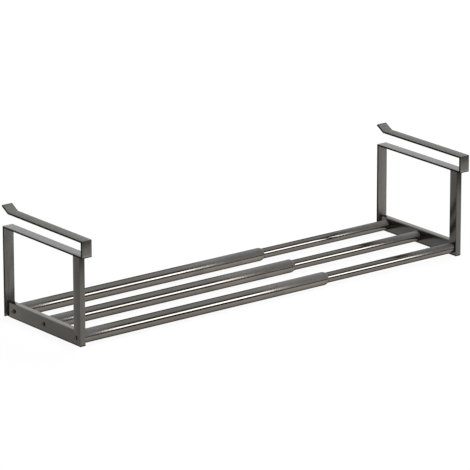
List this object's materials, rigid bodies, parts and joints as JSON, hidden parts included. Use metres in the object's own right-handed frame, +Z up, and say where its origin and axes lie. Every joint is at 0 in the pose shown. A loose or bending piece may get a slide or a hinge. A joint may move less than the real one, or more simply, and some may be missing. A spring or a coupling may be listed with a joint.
{
  "type": "extendable shoe rack",
  "caption": "Extendable shoe rack: two flat-bar end frames that hook over a shelf board, joined by telescoping round tubes that carry the shoes.",
  "frame": {"origin": "on the floor plane under the middle of the rack's bounding box, as pictured", "axes": "+X along the tubes towards the thin inner tubes' frame, +Y to the rear where the hook arms are open, +Z up"},
  "size_m": [0.821, 0.2246, 0.192],
  "materials": {
    "satin_steel": "satin dark gunmetal coat on steel",
    "dark_chrome": "polished black nickel plate",
    "bush_plastic": "dark grey moulded plastic",
    "black_plastic": "black moulded plastic",
    "black_screw": "black zinc plated steel"
  },
  "bodies": {
    "left_half": {"left_hook_strip": "satin_steel", "left_side_bracket": "satin_steel", "left_rear_connector": "black_plastic", "left_connector_screw": "black_screw", "outer_tube_front": "dark_chrome", "guide_bush_front": "bush_plastic", "left_end_plug_front": "black_plastic", "left_tube_screw_front": "black_screw", "outer_tube_middle": "dark_chrome", "guide_bush_middle": "bush_plastic", "left_end_plug_middle": "black_plastic", "left_tube_screw_middle": "black_screw", "outer_tube_rear": "dark_chrome", "guide_bush_rear": "bush_plastic", "left_end_plug_rear": "black_plastic", "left_tube_screw_rear": "black_screw"},
    "right_half": {"right_hook_strip": "satin_steel", "right_side_bracket": "satin_steel", "right_rear_connector": "black_plastic", "right_connector_screw": "black_screw", "inner_tube_front": "dark_chrome", "glide_plug_front": "black_plastic", "right_end_plug_front": "black_plastic", "right_tube_screw_front": "black_screw", "inner_tube_middle": "dark_chrome", "glide_plug_middle": "black_plastic", "right_end_plug_middle": "black_plastic", "right_tube_screw_middle": "black_screw", "inner_tube_rear": "dark_chrome", "glide_plug_rear": "black_plastic", "right_end_plug_rear": "black_plastic", "right_tube_screw_rear": "black_screw"}
  },
  "joints": [
    {"name": "extend_slide", "type": "slide", "parent": "left_half", "child": "right_half", "axis": [1, 0, 0], "range_m": [-0.28, 0.135]}
  ]
}
